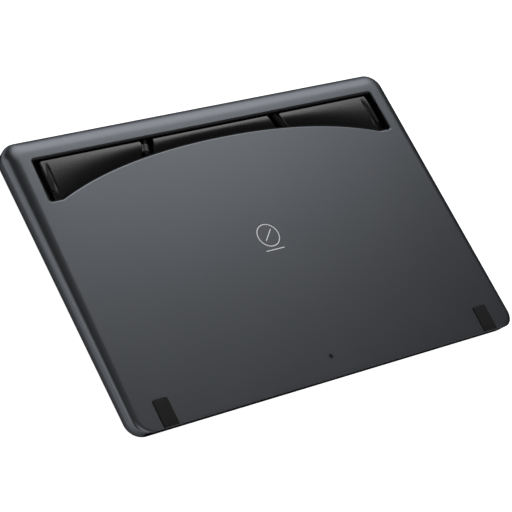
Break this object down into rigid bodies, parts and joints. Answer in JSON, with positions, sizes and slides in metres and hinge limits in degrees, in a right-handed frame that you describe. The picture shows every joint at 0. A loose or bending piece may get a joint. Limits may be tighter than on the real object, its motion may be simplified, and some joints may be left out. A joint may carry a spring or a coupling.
{
  "type": "pen drawing tablet",
  "caption": "Wedge-shaped pen drawing tablet, back up, with a glass face, metal shell, fold-out legs in a curved pocket, rubber feet, edge ports and edge keys.",
  "frame": {"origin": "centre of the bounding box in X and Y, on the outer face of the cover glass (Z = 0)", "axes": "+X across the width, to the right as seen from the back; +Y toward the stand edge; +Z out of the back"},
  "size_m": [0.437, 0.297, 0.0203],
  "materials": {
    "cover_metal": "satin dark grey anodised",
    "frame_metal": "satin dark grey anodised",
    "black_glass": "gloss, etched",
    "panel_glass": "gloss",
    "white_plastic": "matte",
    "clear_plastic": "gloss",
    "circuit_board": "satin",
    "shield_steel": "satin",
    "chassis_aluminium": "mill",
    "black_metal": "satin black anodised",
    "black_plastic": "fine texture",
    "rubber": "matte",
    "hinge_steel": "satin",
    "screw_steel": "black oxide",
    "socket_steel": "bright",
    "chip_black": "matte",
    "flex_film": "gloss film",
    "thermal_grey": "soft",
    "bearing_brass": "satin"
  },
  "bodies": {
    "tablet": {"backlight_frame": "white_plastic", "board_connectors": "white_plastic", "button_board": "circuit_board", "button_cable": "flex_film", "button_switches": "chip_black", "centre_block": "black_metal", "centre_block_screws": "screw_steel", "chassis_plate": "chassis_aluminium", "chassis_screws": "screw_steel", "cover_glass": "black_glass", "cover_screw_centre": "screw_steel", "cover_screws_under_feet": "screw_steel", "digitizer_board": "circuit_board", "digitizer_cable": "flex_film", "display_cable": "flex_film", "front_frame": "frame_metal", "io_board": "circuit_board", "io_cable": "flex_film", "lcd_cell": "panel_glass", "led_bar": "circuit_board", "left_hinge_base": "hinge_steel", "left_hinge_base_screws": "screw_steel", "left_hinge_pin": "hinge_steel", "left_hinge_washers": "bearing_brass", "left_lower_foot": "rubber", "light_guide": "clear_plastic", "liner_screws": "screw_steel", "main_board": "circuit_board", "main_board_chips": "chip_black", "main_board_screws": "screw_steel", "rear_cover": "cover_metal", "right_hinge_base": "hinge_steel", "right_hinge_base_screws": "screw_steel", "right_hinge_pin": "hinge_steel", "right_hinge_washers": "bearing_brass", "right_lower_foot": "rubber", "shield_can": "socket_steel", "shield_plate": "shield_steel", "stand_liner": "black_plastic", "strip_board_screws": "screw_steel", "thermal_pad": "thermal_grey", "usb_c_socket_power": "socket_steel", "usb_c_socket_video": "socket_steel"},
    "left_leg_body": {"left_leg": "black_metal", "left_leg_foot": "rubber", "left_hinge_leaf": "hinge_steel", "left_hinge_leaf_screws": "screw_steel"},
    "right_leg_body": {"right_leg": "black_metal", "right_leg_foot": "rubber", "right_hinge_leaf": "hinge_steel", "right_hinge_leaf_screws": "screw_steel"},
    "power_button_body": {"power_button": "frame_metal"},
    "brightness_up_button_body": {"brightness_up_button": "frame_metal"},
    "brightness_down_button_body": {"brightness_down_button": "frame_metal"}
  },
  "joints": [
    {"name": "left_leg_hinge", "type": "hinge", "parent": "tablet", "child": "left_leg_body", "pos_m": [-0.0777, 0.11544, 0.01589], "axis": [0.309, 0.951, 0.0111], "range_deg": [0, 90]},
    {"name": "right_leg_hinge", "type": "hinge", "parent": "tablet", "child": "right_leg_body", "pos_m": [0.0777, 0.11544, 0.01589], "axis": [0.309, -0.951, -0.0111], "range_deg": [0, 90]},
    {"name": "power_button_press", "type": "slide", "parent": "tablet", "child": "power_button_body", "axis": [0, -1, 0], "range_m": [0, 0.0005], "stiffness_N_per_m": 400},
    {"name": "brightness_up_button_press", "type": "slide", "parent": "tablet", "child": "brightness_up_button_body", "axis": [0, -1, 0], "range_m": [0, 0.0005], "stiffness_N_per_m": 400},
    {"name": "brightness_down_button_press", "type": "slide", "parent": "tablet", "child": "brightness_down_button_body", "axis": [0, -1, 0], "range_m": [0, 0.0005], "stiffness_N_per_m": 400}
  ]
}
